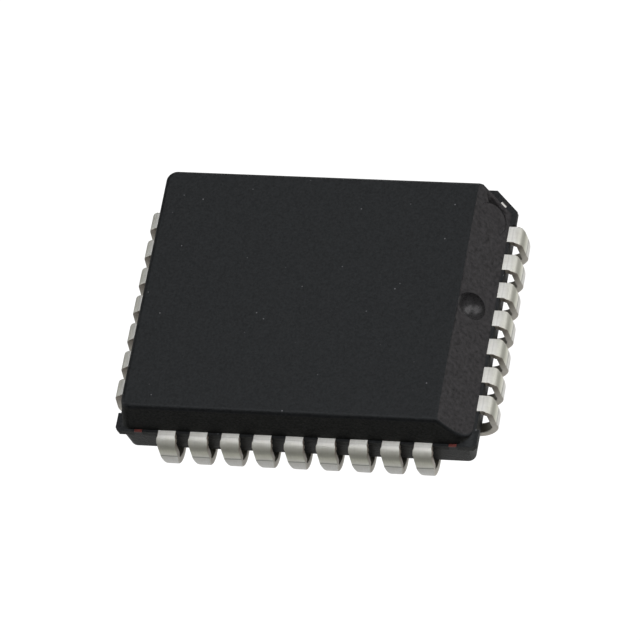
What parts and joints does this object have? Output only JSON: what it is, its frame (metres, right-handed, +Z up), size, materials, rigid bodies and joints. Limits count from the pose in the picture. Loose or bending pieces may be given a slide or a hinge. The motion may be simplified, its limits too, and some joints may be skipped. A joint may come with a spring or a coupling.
{
  "type": "plcc chip",
  "caption": "Surface-mount integrated circuit in a rectangular plastic body, with J-shaped leads curled under all four sides and a bevelled, dimpled pin-1 side.",
  "frame": {"origin": "on the seating plane that the lead feet rest on, under the middle of the body", "axes": "+X towards the short side that holds pin 1, along the long side; +Y along the short side; +Z up, out of the marked top face"},
  "size_m": [0.0152, 0.0126, 0.0034],
  "materials": {
    "epoxy": "fine matte grain, as moulded",
    "tin_plate": "satin tin plate over copper alloy",
    "copper": "bare copper alloy sheet",
    "attach": "cured silver-filled epoxy",
    "silicon": "polished silicon"
  },
  "bodies": {
    "root": {"moulded_body": "epoxy", "lead_01": "tin_plate", "lead_02": "tin_plate", "lead_03": "tin_plate", "lead_04": "tin_plate", "lead_05": "tin_plate", "lead_06": "tin_plate", "lead_07": "tin_plate", "lead_08": "tin_plate", "lead_09": "tin_plate", "lead_10": "tin_plate", "lead_11": "tin_plate", "lead_12": "tin_plate", "lead_13": "tin_plate", "lead_14": "tin_plate", "lead_15": "tin_plate", "lead_16": "tin_plate", "lead_17": "tin_plate", "lead_18": "tin_plate", "lead_19": "tin_plate", "lead_20": "tin_plate", "lead_21": "tin_plate", "lead_22": "tin_plate", "lead_23": "tin_plate", "lead_24": "tin_plate", "lead_25": "tin_plate", "lead_26": "tin_plate", "lead_27": "tin_plate", "lead_28": "tin_plate", "lead_29": "tin_plate", "lead_30": "tin_plate", "lead_31": "tin_plate", "lead_32": "tin_plate", "die_paddle": "copper", "die_attach": "attach", "silicon_die": "silicon"}
  },
  "joints": []
}
